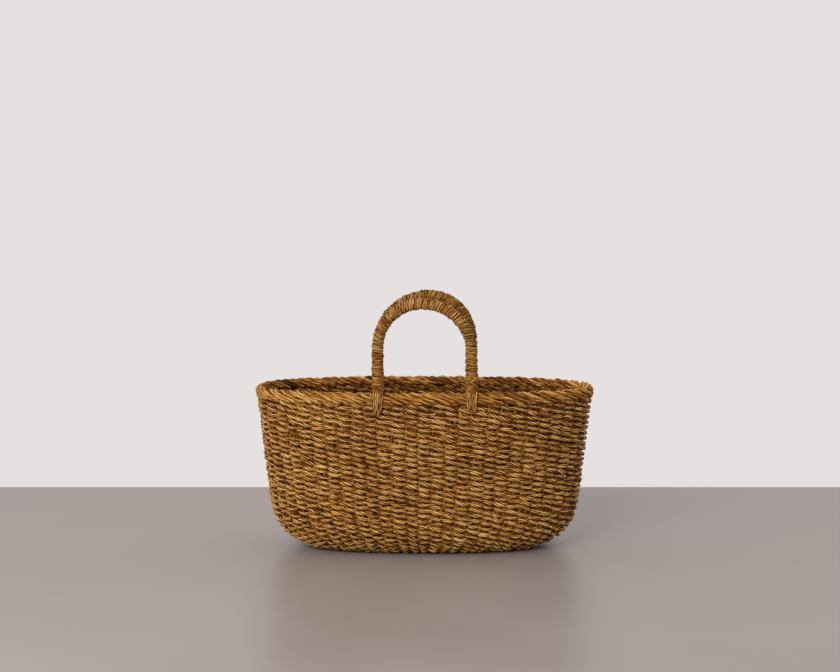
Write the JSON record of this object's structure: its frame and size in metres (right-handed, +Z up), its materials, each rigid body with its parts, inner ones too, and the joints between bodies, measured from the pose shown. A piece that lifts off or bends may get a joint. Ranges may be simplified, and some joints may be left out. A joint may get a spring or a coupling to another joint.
{
  "type": "seagrass storage basket",
  "caption": "Oval woven seagrass storage basket with an open top, a rolled rim edge and an arched carrying handle that leans on each long side",
  "frame": {"origin": "on the ground under the middle of the basket", "axes": "+X along the basket's length to its right, -Y the front, +Z up"},
  "size_m": [0.4206, 0.2097, 0.3169],
  "materials": {
    "seagrass": "dry twisted seagrass, satin straw with dark gaps",
    "rim_rope": "twisted seagrass rope, satin straw",
    "stake": "dry matt stake of twisted grass over cane",
    "cane": "smooth split cane",
    "handle_wrap": "close-wound seagrass cord, satin straw",
    "lashing_cord": "seagrass cord, satin straw"
  },
  "bodies": {
    "basket": {"base_mat": "seagrass", "cross_stake_01": "stake", "cross_stake_02": "stake", "cross_stake_03": "stake", "cross_stake_04": "stake", "cross_stake_05": "stake", "cross_stake_06": "stake", "cross_stake_07": "stake", "cross_stake_08": "stake", "cross_stake_09": "stake", "cross_stake_10": "stake", "cross_stake_11": "stake", "cross_stake_12": "stake", "cross_stake_13": "stake", "cross_stake_14": "stake", "cross_stake_15": "stake", "long_stake_1": "stake", "long_stake_2": "stake", "long_stake_3": "stake", "long_stake_4": "stake", "long_stake_5": "stake", "right_end_stake_01": "stake", "right_end_stake_02": "stake", "right_end_stake_03": "stake", "right_end_stake_04": "stake", "right_end_stake_05": "stake", "right_end_stake_06": "stake", "right_end_stake_07": "stake", "right_end_stake_08": "stake", "right_end_stake_09": "stake", "right_end_stake_10": "stake", "left_end_stake_01": "stake", "left_end_stake_02": "stake", "left_end_stake_03": "stake", "left_end_stake_04": "stake", "left_end_stake_05": "stake", "left_end_stake_06": "stake", "left_end_stake_07": "stake", "left_end_stake_08": "stake", "left_end_stake_09": "stake", "left_end_stake_10": "stake", "base_weft_band": "seagrass", "lower_corner_weft_band": "seagrass", "upper_corner_weft_band": "seagrass", "wall_weft_band_1": "seagrass", "wall_weft_band_2": "seagrass", "wall_weft_band_3": "seagrass", "wall_weft_band_4": "seagrass", "rim_waling_band": "seagrass", "rim_edge": "rim_rope", "front_left_lashing": "lashing_cord", "front_right_lashing": "lashing_cord", "back_left_lashing": "lashing_cord", "back_right_lashing": "lashing_cord"},
    "front_handle": {"front_handle_wrap": "handle_wrap", "front_handle_core": "cane"},
    "back_handle": {"back_handle_wrap": "handle_wrap", "back_handle_core": "cane"}
  },
  "joints": [
    {"name": "front_handle_hinge", "type": "hinge", "parent": "basket", "child": "front_handle", "pos_m": [0, -0.09515, 0.21414], "axis": [-1, 0, 0], "range_deg": [-20, 45]},
    {"name": "back_handle_hinge", "type": "hinge", "parent": "basket", "child": "back_handle", "pos_m": [0, 0.09471, 0.21414], "axis": [1, 0, 0], "range_deg": [-20, 45]}
  ]
}
